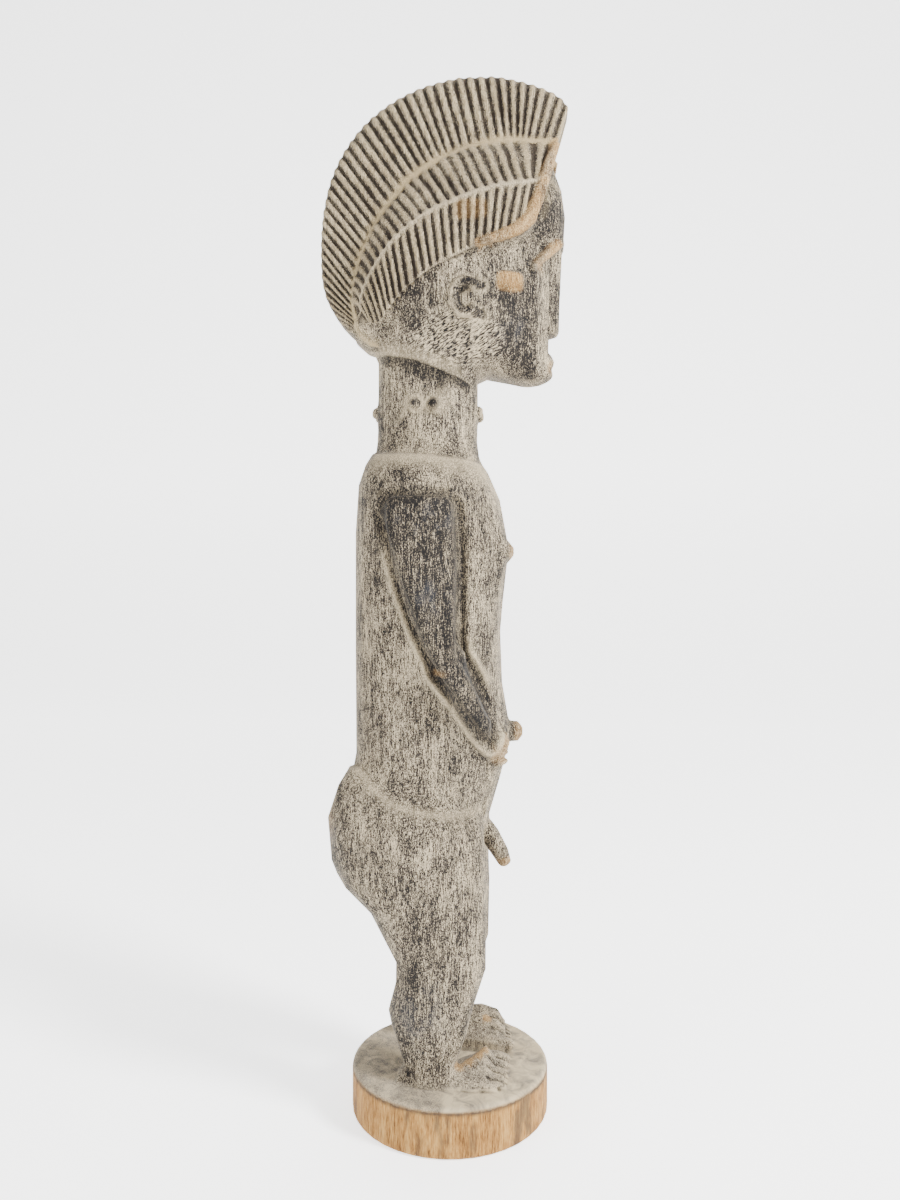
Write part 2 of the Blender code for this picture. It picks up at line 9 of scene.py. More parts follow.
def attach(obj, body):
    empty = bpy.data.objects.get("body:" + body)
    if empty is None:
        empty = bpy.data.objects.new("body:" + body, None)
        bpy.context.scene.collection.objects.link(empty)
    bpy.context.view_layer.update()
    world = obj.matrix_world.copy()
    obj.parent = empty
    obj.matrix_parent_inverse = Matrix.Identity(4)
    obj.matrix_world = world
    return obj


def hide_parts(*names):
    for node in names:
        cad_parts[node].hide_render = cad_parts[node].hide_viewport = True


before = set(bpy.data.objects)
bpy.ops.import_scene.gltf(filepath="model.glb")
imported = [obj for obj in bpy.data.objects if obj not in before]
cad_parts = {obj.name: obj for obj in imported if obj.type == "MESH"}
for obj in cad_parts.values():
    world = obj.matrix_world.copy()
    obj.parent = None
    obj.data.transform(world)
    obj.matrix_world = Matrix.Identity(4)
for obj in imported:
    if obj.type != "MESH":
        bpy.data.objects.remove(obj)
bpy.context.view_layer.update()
print("frame loaded")

baseTop = 20.0
millimetre = 0.001
farAway = 99.0

# The hair's lines follow the CAD figure: crest line and valley as (forward, height) pairs.
crest = {
    "rows": (
        ((50.4, 403.5), (45.5, 386.6)), ((46.4, 408.2), (40, 386.9)), ((37.4, 412.8), (33, 387.2)),
        ((28.4, 415.6), (28.5, 387.6)), ((17.4, 417.6), (22, 387.6)), ((6.4, 417.6), (13, 385.6)),
        ((-8.2, 415), (2, 382)), ((-17.6, 411.6), (-4, 379.6)), ((-26.6, 406.8), (-10, 376)),
        ((-36, 399.4), (-17.5, 370.8)), ((-42.5, 391.8), (-23, 363.6)), ((-48.2, 382.4), (-29, 355.6)),
        ((-52.6, 370.4), (-34, 346)), ((-54.8, 357.8), (-38, 337)), ((-55.4, 346.6), (-40, 326)),
        ((-55.2, 335.6), (-40.4, 318.5)), ((-53.6, 326.4), (-39.4, 313)), ((-50, 318.6), (-37, 308.6)),
        ((-44.4, 311), (-34.5, 305.6)), ((-36, 304.8), (-30.5, 302.5)),
    ),
    "ridges": 44,
    "valleySide": (8, 9.5, 10.5, 10),
    "napeShare": 0.85,  # how much of that side is left at the nape, and how fast the rest comes back
    "napeGain": 0.15,
    "napeSpeed": 8,
    "profile": ((0, 0.40), (0.1, 0.70), (0.52, 0.88), (1, 1)),
    "samples": 4,  # along each ridge's own width
    "falls": 13,  # samples from the crest line down to the valley
    "cut": 0.75,
    "cutStart": (-0.02, 0.12),
    "cutEnd": (1.0, 0.86),
    "smoothEnd": 0.13,  # the cuts run out over this share of the crest, at the nape
}
# Each row: valley, arris and hairline, as (side, forward, height).
lobes = {
    "rows": (
        ((7.5, 44.6, 386), (17, 39.5, 366), (21.5, 36.5, 348)),
        ((8, 38, 387), (20, 36, 365), (24, 32.5, 343.6)),
        ((8.5, 28, 387.6), (23, 32.5, 363.4), (26, 28.4, 341.4)),
        ((9, 20, 387.2), (24.5, 27, 362.4), (26.8, 23, 340)),
        ((9, 9, 384.8), (25, 18.5, 361), (27.4, 17, 338)),
        ((9.4, 1.6, 382.2), (25, 11.5, 358.8), (27.8, 11, 336)),
        ((9.8, -7.8, 378), (25, 3, 356), (28, 4.5, 333)),
        ((10, -16.8, 371.4), (24.6, -6, 352.6), (28, -3, 329.4)),
        ((10.2, -23.2, 363.5), (24, -13.5, 348), (28, -9, 325.4)),
        ((10.4, -28, 358), (23.4, -19.5, 343.4), (27.4, -15.5, 320.4)),
        ((10.5, -31.2, 351), (22.6, -24.5, 338.4), (26.8, -20, 315.8)),
        ((10.6, -35.8, 342.8), (21.4, -29.5, 331.6), (25.8, -24, 311)),
        ((10.6, -39, 333), (20, -33.5, 325), (24.2, -27, 307)),
        ((10, -40.2, 326), (17.4, -35.8, 319.6), (21.4, -30.8, 308)),
        ((9, -39.6, 319.4), (13.4, -36.4, 315), (17.4, -32.6, 310.6)),
        ((7, -34.4, 316), (10, -32.4, 315), (12.6, -29.6, 314)),
    ),
    "ridges": 27,
    "samples": 4,
    "falls": 9,
    "swell": 0.9,
    "swellShare": 0.7,  # the guide lies this far up the swell
    "upperOut": (0.5, 0, 0.85),
    "lowerOut": (0.97, 0, 0.1),
    "cut": 0.65,
    "cutStart": (0, 0.1),
    "cutEnd": (1, 0.93),
    "arrisSharpness": 16,
    "arrisReach": 1,
    "arrisLift": 0.3,
}
surface = {
    "voxel": 0.52,
    "relaxTurns": 680,
    "lastTurns": 2,
    "scoopSize": 5.0,
    "scoopDepth": 0.24,
    "scoopStretch": 0.6,
    "scoopCap": 1.2,
    "scoopMean": 0.35,
    "scoopFoot": (1, 4),  # no scoops right at the base
    "reach": 4.2,  # how near a point must be to the hair's surface to be combed
    "reachFull": 0.6,  # the share of that reach where the combing is at its full depth
    "groove": (0.62, 0.12),
    "grooveMean": 0.25,
    "hairSkin": 2.6,
    "hairFade": 1.5,
    "outlineFall": (0.07, 0.03),
    "outlineSmoothed": 0.02,
    "sideFade": 3,
    "sideFadeNarrow": 2,
    "hollowTurns": 9,
    "detailHeld": 0.85,  # how far the thinning spares the hair and the carving
    "triangles": 186000,
    "seed": 7,
}
# Places that stay crisp while the body's facets are smoothed: centre, radius, how much is kept.
crisp = (
    ((0, 46, 318), 38, 0.998), ((24.6, 8, 317), 14, 0.998), ((20, 24, 325.6), 11, 0.995),
    ((17, 21, 135), 13, 0.985), ((0, 28, 139.6), 8, 0.96), ((13.5, 24, 216), 6, 0.9),
    ((14, 18, 6), 24, 0.996), ((0, 20, 92), 14, 0.96), ((10, 12, 274.6), 6, 0.99), ((4, 14, 274.6), 6, 0.99),
    ((20, -9.2, 274.6), 8, 0.99), ((4, -32, 274.6), 8, 0.99),
)
crispCore = 0.6  # the share of the radius where all of it is kept
# How firmly the lines and the round base are held while the body is smoothed.
held = {
    "arm": 0.93,
    "armReach": (7, 4),
    "crease": 0.97,
    "creaseGain": 12,
    "baseHeight": 1.5,
    "baseLeft": 0.02,
}
# The arm's outline seen from the side, as (forward, height): a channel is cut along it, and the trunk
# rises to a low edge just outside.
armPanel = {
    "outline": ((-22, 238), (-26.1, 234.7), (-27.6, 230.4), (-24.1, 220.6), (-21, 212.3), (-18.6, 203.3),
                (-14.3, 190.7), (-10.9, 181.6), (-6, 171.4), (-4.4, 165.9), (4.2, 155.3), (9.3, 147.4),
                (14, 140.7), (18.2, 136.8), (20.7, 147.4), (18.2, 151.3), (15.6, 157.2), (12.7, 163.1),
                (9.3, 169.4), (6.2, 174.2), (6.6, 193), (7, 208), (6.2, 223.3), (5.8, 233.2), (1.5, 238)),
    "channel": 1.9,
    "channelWidth": 1.7,
    "edge": 0.8,
    "edgeAway": 3.4,
    "edgeWidth": 1.1,
    "leastSide": 17,
    "middle": ((137, 166, 238), (19, 3, -10)),  # heights, and how far forward the arm's middle is there
    "edgeBehind": (218, 208),  # the edge fades out over these heights
    "edgeBefore": (184, 176),
}
# Lines where two forms meet, as (forward, height) with the least distance from the middle: how deep
# they are cut (less than 0 is raised) and how pale they are.
creases = (
    {"path": ((-41, 128), (-35, 125.6), (-29.1, 120), (-20.7, 114.4), (-9.5, 111.2), (1.8, 109.6),
              (13, 109.6), (18.2, 111.6)), "leastSide": 12, "width": 1.5, "depth": 0.35, "pale": 0.5},
    {"path": ((-30, 257), (-20, 256), (-8, 255.2), (4, 254.2), (14, 253.2)), "leastSide": 3, "width": 1.4,
     "depth": 0.9, "pale": 0},
    {"path": ((-30, 254.4), (-20, 253.4), (-8, 252.6), (4, 251.6), (14, 250.6)), "leastSide": 3, "width": 1.3,
     "depth": -0.45, "pale": 0.9},
)
# Raised scars on the side of the neck, as (forward, height).
scars = {"places": ((-12.8, 275.6), (-5.4, 275.4)), "size": 2.2, "raised": 1.2, "leastSide": 6}
# The ear's rim seen from the side, open to the front, as (forward, height).
ear = {"path": ((14.2, 322.4), (8, 323), (5, 319.6), (4.6, 315.4), (6.8, 311.8), (14.2, 311)), "width": 1.7,
       "leastSide": 18}
# The head's lower edge stands over the neck, as (forward, height).
jaw = {
    "path": ((-30, 297.6), (-23.5, 296.7), (-18.9, 295), (-13.6, 293.8), (-9.1, 293), (-2.9, 290.1),
             (5.3, 287.2), (11, 285.4), (14.7, 284.4), (22, 283.6)),
    "over": 0.9,
    "under": 1.3,
    "step": (-0.5, 0.5),
    "reach": 5,
    "leastSide": 7,
    "behind": (-32, -28),
    "before": (20, 15),
}
# Bars of bare wood, as (side, forward, height): the hair's front band and the brow.
bars = {
    "rim": {"path": ((8, 45, 385.5), (13, 42.6, 377), (17.5, 40, 367.5), (20.6, 37.2, 357.5),
                     (23.4, 33.8, 348.5), (25.8, 28.6, 343), (27, 22, 340), (27.6, 14.5, 337.8)),
            "reach": 3.3},
    "brow": {"path": ((13.6, 38.4, 334), (11.4, 41.4, 337.6), (7, 45, 343)), "reach": 3.6},
}
barCore = 0.7  # the share of the reach that is all bare
# The drying crack beside the belly on the figure's right, as (forward, height).
crack = {
    "path": ((16.6, 129), (16.4, 120), (15.2, 111), (15.4, 103), (15.6, 88)),
    "width": 0.55,
    "depth": 0.8,
    "leastSide": 5,
}
# Cuts between the toes, by their distance from the middle.
toes = {
    "between": (9.9, 14.9, 19.4, 24.1),
    "from": (15.0, 17.5),
    "top": (14, 11),
    "sole": (0.6, 1.6),
    "width": 0.85,
    "depth": 1.1,
}
ridgeColumn, fallColumn, bandColumn = 3, 4, 5  # of a hair sample, after its place


def flow(rows, at):  # smooth value of every column, with no overshoot between the rows
    last = len(rows) - 1
    index = min(max(int(at), 0), last - 1)
    share = at - index

    def steepness(column, row):
        if row in (0, last):
            return 0.0
        before = rows[row][column] - rows[row - 1][column]
        after = rows[row + 1][column] - rows[row][column]
        return 0.0 if before * after <= 0 else 2 * before * after / (before + after)

    return [
        rows[index][column] * (1 + 2 * share) * (1 - share) ** 2
        + steepness(column, index) * share * (1 - share) ** 2
        + rows[index + 1][column] * share * share * (3 - 2 * share)
        + steepness(column, index + 1) * share * share * (share - 1)
        for column in range(len(rows[0]))
    ]


def evenPlaces(rows, columns, count):  # evenly spaced on the line that the columns give
    fine = 12
    flat = [tuple(value for point in row for value in point) for row in rows]
    points = [flow(flat, step / fine) for step in range((len(rows) - 1) * fine + 1)]
    lengths = [0.0]
    for before, after in zip(points, points[1:]):
        lengths.append(lengths[-1] + math.dist(before[columns], after[columns]))
    wanted = np.linspace(0, lengths[-1], count + 1)
    return flat, np.interp(wanted, lengths, np.arange(len(lengths)) / fine)


def crestSamples():  # point, ridge number, fall from crest line to valley, both sides
    count = crest["ridges"] * crest["samples"]
    flat, places = evenPlaces(crest["rows"], slice(0, 2), count)
    spread = [(value,) for value in crest["valleySide"]]
    falls = np.linspace(0, 1, crest["falls"])
    wides = np.interp(falls, *np.array(crest["profile"]).T)
    found = []
    for step, at in enumerate(places):
        forward, height, valleyForward, valleyHeight = flow(flat, at)
        share = step / count
        widened = crest["napeShare"] + crest["napeGain"] * min(1, (1 - share) * crest["napeSpeed"])
        valleySide = flow(spread, share * (len(spread) - 1))[0] * widened
        for fall, wide in zip(falls, wides):
            for hand in (-1, 1):
                found.append((
                    hand * valleySide * wide, forward + (valleyForward - forward) * fall,
                    height + (valleyHeight - height) * fall, step / crest["samples"], fall, 0,
                ))
    return found


def lobeSamples():  # upper band is 1, lower band is 2
    count = lobes["ridges"] * lobes["samples"]
    flat, places = evenPlaces(lobes["rows"], slice(3, 6), count)
    found = []
    for step, at in enumerate(places):
        numbers = flow(flat, at)
        valley, arris, line = (Vector(numbers[start:start + 3]) for start in (0, 3, 6))
        for band, start, end, out in (
            (1, valley, arris, Vector(lobes["upperOut"])), (2, arris, line, Vector(lobes["lowerOut"])),
        ):
            for fall in np.linspace(0, 1, lobes["falls"]):
                swell = out * lobes["swell"] * lobes["swellShare"] * math.sin(math.pi * fall)
                point = start.lerp(end, fall) + swell
                for hand in (-1, 1):
                    found.append((hand * point.x, point.y, point.z, step / lobes["samples"], fall, band))
    return found


def treeOf(places):
    tree = kdtree.KDTree(len(places))
    for index, place in enumerate(places):
        tree.insert(place, index)
    tree.balance()
    return tree


def hairGuide():
    samples = np.array(crestSamples() + lobeSamples())
    return samples, treeOf(samples[:, :3])


def smoothStep(low, high, values):
    share = np.clip((values - low) / (high - low), 0, 1)
    return share * share * (3 - 2 * share)


def bell(distance, width):  # 1 on a line, falling to 0 beside it
    return np.exp(-(distance / width) ** 2)


def partPlaces(points):  # metres in the row frame to (side, forward, height) in millimetres
    return np.column_stack((points[:, 0], -points[:, 1], points[:, 2])) / millimetre - (0, 0, baseTop)


def readRows(items, name, width, kind):
    values = np.empty(len(items) * width, kind)
    items.foreach_get(name, values)
    return values.reshape(-1, width)


def readPoints(mesh):
    return readRows(mesh.vertices, "co", 3, np.float32).astype(float)


def readNormals(mesh):
    return readRows(mesh.vertices, "normal", 3, np.float32).astype(float)


def readEdges(mesh):
    return readRows(mesh.edges, "vertices", 2, np.int32)


def writePoints(mesh, points):
    mesh.vertices.foreach_set("co", points.astype(np.float32).ravel())
    mesh.update()


def neighbourMean(values, edges, degree):
    total = np.empty_like(values)
    for column in range(values.shape[1]):
        total[:, column] = np.bincount(edges[:, 0], values[edges[:, 1], column], len(values))
        total[:, column] += np.bincount(edges[:, 1], values[edges[:, 0], column], len(values))
    return total / degree[:, None]


def neighbourOf(samples, nearest, stride, column):  # the step to the next sample, and its change of value
    after = np.clip(nearest + stride, 0, len(samples) - 1)
    wrong = samples[after, bandColumn] != samples[nearest, bandColumn]
    wrong |= samples[after, column] <= samples[nearest, column]
    after = np.where(wrong, np.clip(nearest - stride, 0, len(samples) - 1), after)
    return samples[after, :3] - samples[nearest, :3], samples[after, column] - samples[nearest, column]


def combAt(parts, samples, tree):  # ridge number, fall and band of the nearest hair, and how far it is
    margin, ridgesAway, fallsAway, leastArea = 5, 5, 2, 1e-6
    near = np.where((parts > samples[:, :3].min(0) - margin).all(1))[0]
    found = [tree.find(parts[index])[1:] for index in near]
    nearest = np.array([which for which, _ in found])
    number, fall, band = (np.zeros(len(parts)) for _ in range(3))
    gap = np.full(len(parts), farAway)
    gap[near] = [distance for _, distance in found]
    band[near] = samples[nearest, bandColumn]
    stride = np.where(band[near] == 0, crest["falls"] * 2, lobes["falls"] * 4)
    across, numberStep = neighbourOf(samples, nearest, stride, ridgeColumn)
    down, fallStep = neighbourOf(samples, nearest, np.full(len(near), 2), fallColumn)
    away = parts[near] - samples[nearest, :3]
    squareAcross, squareDown, both = ((first * second).sum(1) for first, second in (
        (across, across), (down, down), (across, down)))
    awayAcross, awayDown = (away * across).sum(1), (away * down).sum(1)
    area = np.maximum(squareAcross * squareDown - both ** 2, leastArea)
    shareAcross = (awayAcross * squareDown - awayDown * both) / area
    shareDown = (awayDown * squareAcross - awayAcross * both) / area
    shareAcross = np.clip(shareAcross, -ridgesAway, ridgesAway)
    shareDown = np.clip(shareDown, -fallsAway, fallsAway)
    number[near] = samples[nearest, ridgeColumn] + shareAcross * numberStep
    fall[near] = samples[nearest, fallColumn] + shareDown * fallStep
    return number, fall, band, gap


def combStrength(number, fall, band, gap):
    ending = np.where(band == 0, (1 - number / crest["ridges"]) / crest["smoothEnd"], 1)
    lobeEdge = smoothStep(*lobes["cutStart"], fall) * smoothStep(*lobes["cutEnd"], fall)
    edge = np.where(band == 0, smoothStep(*crest["cutEnd"], fall), lobeEdge)
    edge = edge * np.clip(ending, 0, 1)
    return edge * smoothStep(surface["reach"], surface["reach"] * surface["reachFull"], gap)


def arrisShape(fall, band, gap):  # the thin edge where the two bands of a lobe meet
    thin = np.exp(-((fall - (band == 1)) * lobes["arrisSharpness"]) ** 2)
    return (band > 0) * thin * smoothStep(surface["reach"], lobes["arrisReach"], gap)


def grooveAt(number):  # 1 in the middle of a cut, 0 on a ridge
    away = np.abs(number - np.floor(number) - 0.5) * 2
    return smoothStep(*surface["groove"], away)


def sideFade(parts, leastSide, fade):  # 0 near the middle plane, 1 from the least distance on
    return smoothStep(leastSide, leastSide + fade, np.abs(parts[:, 0]))


def lineDistance(flatPoints, path):
    path = np.array(path, float)
    best = np.full(len(flatPoints), 1e9)
    for start, end in zip(path, path[1:]):
        along = end - start
        share = np.clip(((flatPoints - start) @ along) / (along @ along), 0, 1)
        best = np.minimum(best, np.linalg.norm(flatPoints - start - share[:, None] * along, axis=1))
    return best


def armOutline(parts):  # distance from the arm's outline, and whether a point is outside it
    outline = np.array(armPanel["outline"], float)
    flatPoints = parts[:, 1:]
    distance = lineDistance(flatPoints, np.vstack((outline, outline[:1])))
    inside = np.zeros(len(parts), bool)
    for start, end in zip(outline, np.roll(outline, -1, axis=0)):
        crosses = (start[1] > flatPoints[:, 1]) != (end[1] > flatPoints[:, 1])
        level = (flatPoints[:, 1] - start[1]) / (end[1] - start[1] + 1e-9)
        inside ^= crosses & (flatPoints[:, 0] < start[0] + level * (end[0] - start[0]))
    return distance, ~inside, sideFade(parts, armPanel["leastSide"], surface["sideFade"])


def creaseShape(parts, quality):
    total = np.zeros(len(parts))
    for line in creases:
        distance = lineDistance(parts[:, 1:], line["path"])
        near = sideFade(parts, line["leastSide"] - surface["sideFade"], surface["sideFade"])
        total += near * line[quality] * bell(distance, line["width"])
    return total


def scarAt(parts):  # distance from the middle of the nearest scar, and whether it is on that side
    distance = np.full(len(parts), 1e9)
    for place in scars["places"]:
        distance = np.minimum(distance, np.linalg.norm(parts[:, 1:] - place, axis=1))
    fade = surface["sideFadeNarrow"]
    return distance, sideFade(parts, scars["leastSide"] - fade, fade)


def jawSide(parts):  # height over the jaw's edge, and 1 near that edge
    above = parts[:, 2] - np.interp(parts[:, 1], *np.array(jaw["path"], float).T)
    near = sideFade(parts, jaw["leastSide"], surface["sideFade"])
    near *= smoothStep(*jaw["behind"], parts[:, 1]) * smoothStep(*jaw["before"], parts[:, 1])
    return above, near * bell(above, jaw["reach"])


def crackAt(parts):
    distance = lineDistance(parts[:, 1:], crack["path"])
    oneSide = smoothStep(crack["leastSide"], crack["leastSide"] + surface["sideFade"], -parts[:, 0])
    return oneSide * bell(distance, crack["width"])


def toeCuts(parts):
    distance = np.abs(np.abs(parts[:, :1]) - np.array(toes["between"])).min(1)
    along = smoothStep(*toes["from"], parts[:, 1])
    low = smoothStep(*toes["top"], parts[:, 2])
    return bell(distance, toes["width"]) * along * low * smoothStep(*toes["sole"], parts[:, 2])


def trunkEdge(parts):  # where the trunk rises beside the arm: behind it lower down, before it at the forearm
    height = parts[:, 2]
    behind = smoothStep(*armPanel["edgeBehind"], height)
    before = smoothStep(*armPanel["edgeBefore"], height)
    return np.where(parts[:, 1] < np.interp(height, *armPanel["middle"]), behind, before)


def barAt(parts, name):  # 1 on the bar, 0 away from it
    oneSide = np.column_stack((np.abs(parts[:, 0]), parts[:, 1:]))
    distance = lineDistance(oneSide, bars[name]["path"])
    return smoothStep(bars[name]["reach"], bars[name]["reach"] * barCore, distance)


def stillness(parts):  # 1 where the body is smoothed, near 0 where carving stays crisp
    strength = np.ones(len(parts))
    mirrored = parts * (-1, 1, 1)
    for centre, radius, kept in crisp:
        for places in (parts, mirrored):
            distance = np.linalg.norm(places - centre, axis=1)
            strength *= 1 - kept * smoothStep(radius, radius * crispCore, distance)
    distance, _, near = armOutline(parts)
    strength *= 1 - held["arm"] * near * smoothStep(*held["armReach"], distance)
    strength *= 1 - held["crease"] * np.clip(creaseShape(parts, "depth") * held["creaseGain"], 0, 1)
    strength[parts[:, 2] < held["baseHeight"]] *= held["baseLeft"]
    return strength


def carvedCopy():
    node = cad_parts["figure"]
    shape = bmesh.new()
    shape.from_mesh(node.data)
    bmesh.ops.remove_doubles(shape, verts=shape.verts, dist=1e-6)
    mesh = bpy.data.meshes.new("carvedFigure")
    shape.to_mesh(mesh)
    shape.free()
    figure = bpy.data.objects.new("carvedFigure", mesh)
    bpy.context.scene.collection.objects.link(figure)
    return figure


def applied(figure, modifierType, **settings):
    modifier = figure.modifiers.new(modifierType.lower(), modifierType)
    for name, value in settings.items():
        setattr(modifier, name, value)
    graph = bpy.context.evaluated_depsgraph_get()
    mesh = bpy.data.meshes.new_from_object(figure.evaluated_get(graph))
    figure.modifiers.clear()
    old = figure.data
    figure.data = mesh
    bpy.data.meshes.remove(old)


def scoops(parts):  # height of shallow tool facets that meet in low edges
    rng = np.random.default_rng(surface["seed"])
    spacing = surface["scoopSize"]
    stretched = parts * (1, 1, surface["scoopStretch"])
    chosen = rng.choice(len(parts), int(len(parts) * (surface["voxel"] / spacing) ** 2), replace=False)
    tree = treeOf(stretched[chosen])
    distance = np.array([tree.find(point)[2] for point in stretched])
    return np.minimum(distance / spacing, surface["scoopCap"]) ** 2 - surface["scoopMean"]


def weighted(figure, name, values):  # a vertex group in steps of a fiftieth
    most = 50
    group = figure.vertex_groups.new(name=name)
    steps = np.round(np.clip(values, 0, 1) * most).astype(int)
    for step in np.unique(steps[steps > 0]):
        group.add(np.where(steps == step)[0].tolist(), float(step / most), "REPLACE")


def carveRelief(figure, samples, tree):
    points = readPoints(figure.data)
    parts = partPlaces(points)
    number, fall, band, gap = combAt(parts, samples, tree)
    hair = smoothStep(surface["hairSkin"] + surface["hairFade"], surface["hairSkin"], gap)
    outline = (band == 0) * smoothStep(*surface["outlineFall"], fall)
    onHair = surface["outlineSmoothed"] * outline * hair
    weighted(figure, "body", np.maximum(stillness(parts) * (1 - hair), onHair))
    settings = {"factor": 1, "iterations": surface["relaxTurns"], "vertex_group": "body"}
    applied(figure, "SMOOTH", **settings)
    even = readPoints(figure.data)
    writePoints(figure.data, points - even)  # what the smoothing took away, smoothed and given back
    applied(figure, "SMOOTH", **settings)
    writePoints(figure.data, even + readPoints(figure.data))
    applied(figure, "SMOOTH", factor=0.5, iterations=surface["lastTurns"])
    print("facets smoothed")

    mesh = figure.data
    points = readPoints(mesh)
    normals = readNormals(mesh)
    parts = partPlaces(points)
    still = stillness(parts)
    comb = combStrength(number, fall, band, gap) * (1 - barAt(parts, "rim"))
    comb *= np.where(band == 0, smoothStep(*crest["cutStart"], fall), 1)
    cut = np.where(band == 0, crest["cut"], lobes["cut"])
    lift = -comb * cut * (grooveAt(number) - surface["grooveMean"])
    lift += lobes["arrisLift"] * arrisShape(fall, band, gap)
    foot = smoothStep(*surface["scoopFoot"], parts[:, 2])
    lift += scoops(parts) * surface["scoopDepth"] * still * (1 - hair) * foot
    distance, outside, near = armOutline(parts)
    lift -= near * armPanel["channel"] * bell(distance, armPanel["channelWidth"])
    edge = bell(distance - armPanel["edgeAway"], armPanel["edgeWidth"])
    lift += near * outside * trunkEdge(parts) * armPanel["edge"] * edge
    lift -= creaseShape(parts, "depth")
    above, near = jawSide(parts)
    lift += near * (smoothStep(*jaw["step"], above) * (jaw["over"] + jaw["under"]) - jaw["under"])
    distance, near = scarAt(parts)
    lift += near * scars["raised"] * np.exp(-(distance / scars["size"]) ** 4)
    lift -= crack["depth"] * crackAt(parts) + toes["depth"] * toeCuts(parts)
    writePoints(mesh, points + normals * (lift * millimetre)[:, None])

    weighted(figure, "thin", 1 - surface["detailHeld"] * np.maximum(hair, 1 - still))
    print("relief carved:", len(points), "points")
    return hollowAt(mesh)


def hollowAt(mesh):  # every point, and how far it lies under its surroundings (less than 0: over them)
    points = readPoints(mesh)
    edges = readEdges(mesh)
    degree = np.bincount(edges.ravel(), minlength=len(points))
    wide = points
    for _ in range(surface["hollowTurns"]):
        wide = neighbourMean(wide, edges, degree)
    return points, ((wide - points) * readNormals(mesh)).sum(1) / millimetre


def nearestValues(points, places, values):
    tree = treeOf(places)
    return values[[tree.find(point)[1] for point in points]]


def thinned(figure):
    triangles = sum(len(face.vertices) - 2 for face in figure.data.polygons)
    applied(figure, "DECIMATE", ratio=surface["triangles"] / triangles, vertex_group="thin",
            vertex_group_factor=1.0, use_collapse_triangulate=True)
    figure.vertex_groups.clear()
    shape = bmesh.new()
    shape.from_mesh(figure.data)
    strays = [vert for vert in shape.verts if len(vert.link_faces) < 3]  # slivers that the thinning leaves
    bmesh.ops.delete(shape, geom=strays, context="VERTS")
    shape.to_mesh(figure.data)
    shape.free()
    print("thinned to", len(figure.data.polygons), "triangles")


# Places worn down to bare orange-brown wood: centre, half sizes, strength.
worn = (
    ((13.5, 28.6, 215.4), (4, 4, 4), 0.5), ((0, 31, 139.6), (6, 4, 6), 0.8),
    ((18, 22, 135), (7, 5, 7), 0.5), ((0, 24, 82), (5, 5, 5), 0.6),
    ((20, 25.8, 324.8), (6, 6.2, 4.5), 1.0), ((31, -1, 166.6), (7, 5, 1.8), 0.6),
    ((26, 10, 352), (6, 8, 5), 0.4), ((7, 44, 293), (5, 3, 3), 0.4),
    ((21.4, 5, 6.4), (2.4, 2.6, 2.2), 0.8), ((18.8, 9, 7.8), (2.4, 2.6, 2), 0.9),
    ((16, 12.6, 9.2), (2.4, 2.6, 2), 0.9), ((13.2, 15.4, 10.2), (2.2, 2.2, 2), 0.8),
    ((19.4, -21.5, 42), (6, 2, 8), 0.4), ((18, -49, 98), (8, 2, 12), 0.35),
)
# Places where the patina is dark and rubbed to a shine.
polished = (
    ((34, -9, 226), (10, 19, 14), 0.9), ((34, -5, 200), (10, 13, 24), 0.9),
    ((30, 3, 168), (10, 12, 16), 0.9), ((22, 12, 150), (20, 12, 14), 0.7),
    ((24, -43, 95), (16, 12, 16), 0.9), ((22, -26, 74), (14, 14, 12), 0.6),
    ((26, -10, 30), (12, 16, 20), 0.7), ((22, 30, 306), (10, 12, 16), 0.7),
    ((18, -36, 66), (10, 10, 10), 0.5), ((22, 0, 60), (16, 20, 16), 0.5),
    ((26, -20, 320), (6, 10, 8), 0.3),
)
# Places with a brown-black crust; the strong spot at the elbow, at (31, 5, 166), is painted shadow beside the
# arm's channel.
crustAndShade = (
    ((22, 12, 150), (20, 12, 14), 0.7), ((31, 5, 166), (9, 9, 11), 1.7),
    ((26, -16, 320), (8, 8, 16), 0.4), ((20, -24, 92), (18, 26, 28), 0.95),
    ((22, -4, 66), (20, 24, 36), 1.2), ((4, 50, 322), (6, 6, 24), 1),
    ((22, -14, 22), (14, 14, 14), 0.5), ((10, 38, 354), (18, 15, 17), 1.3),
    ((26, 20, 336), (10, 14, 8), 0.5), ((20, -20, 190), (20, 8, 50), 0.3),
    ((16, -16, 6), (12, 12, 6), 0.5),
)
# Places where the tool's fine marks run down to the front.
slanted = (
    ((22, 6, 300), (14, 30, 16), 1), ((20, -26, 108), (16, 24, 16), 1), ((18, 8, 66), (18, 12, 24), 0.7),
)
# Smooth places where the wood is pale.
# Smooth front-facing places painted lighter, as lit from the front: the face's front plane, the chest and the
# belly.
paintedLight = (
    ((9, 42, 310), (5, 4, 26), 1), ((12, 20, 244), (20, 10, 8), 0.4), ((8, 26, 180), (14, 6, 40), 0.35),
)

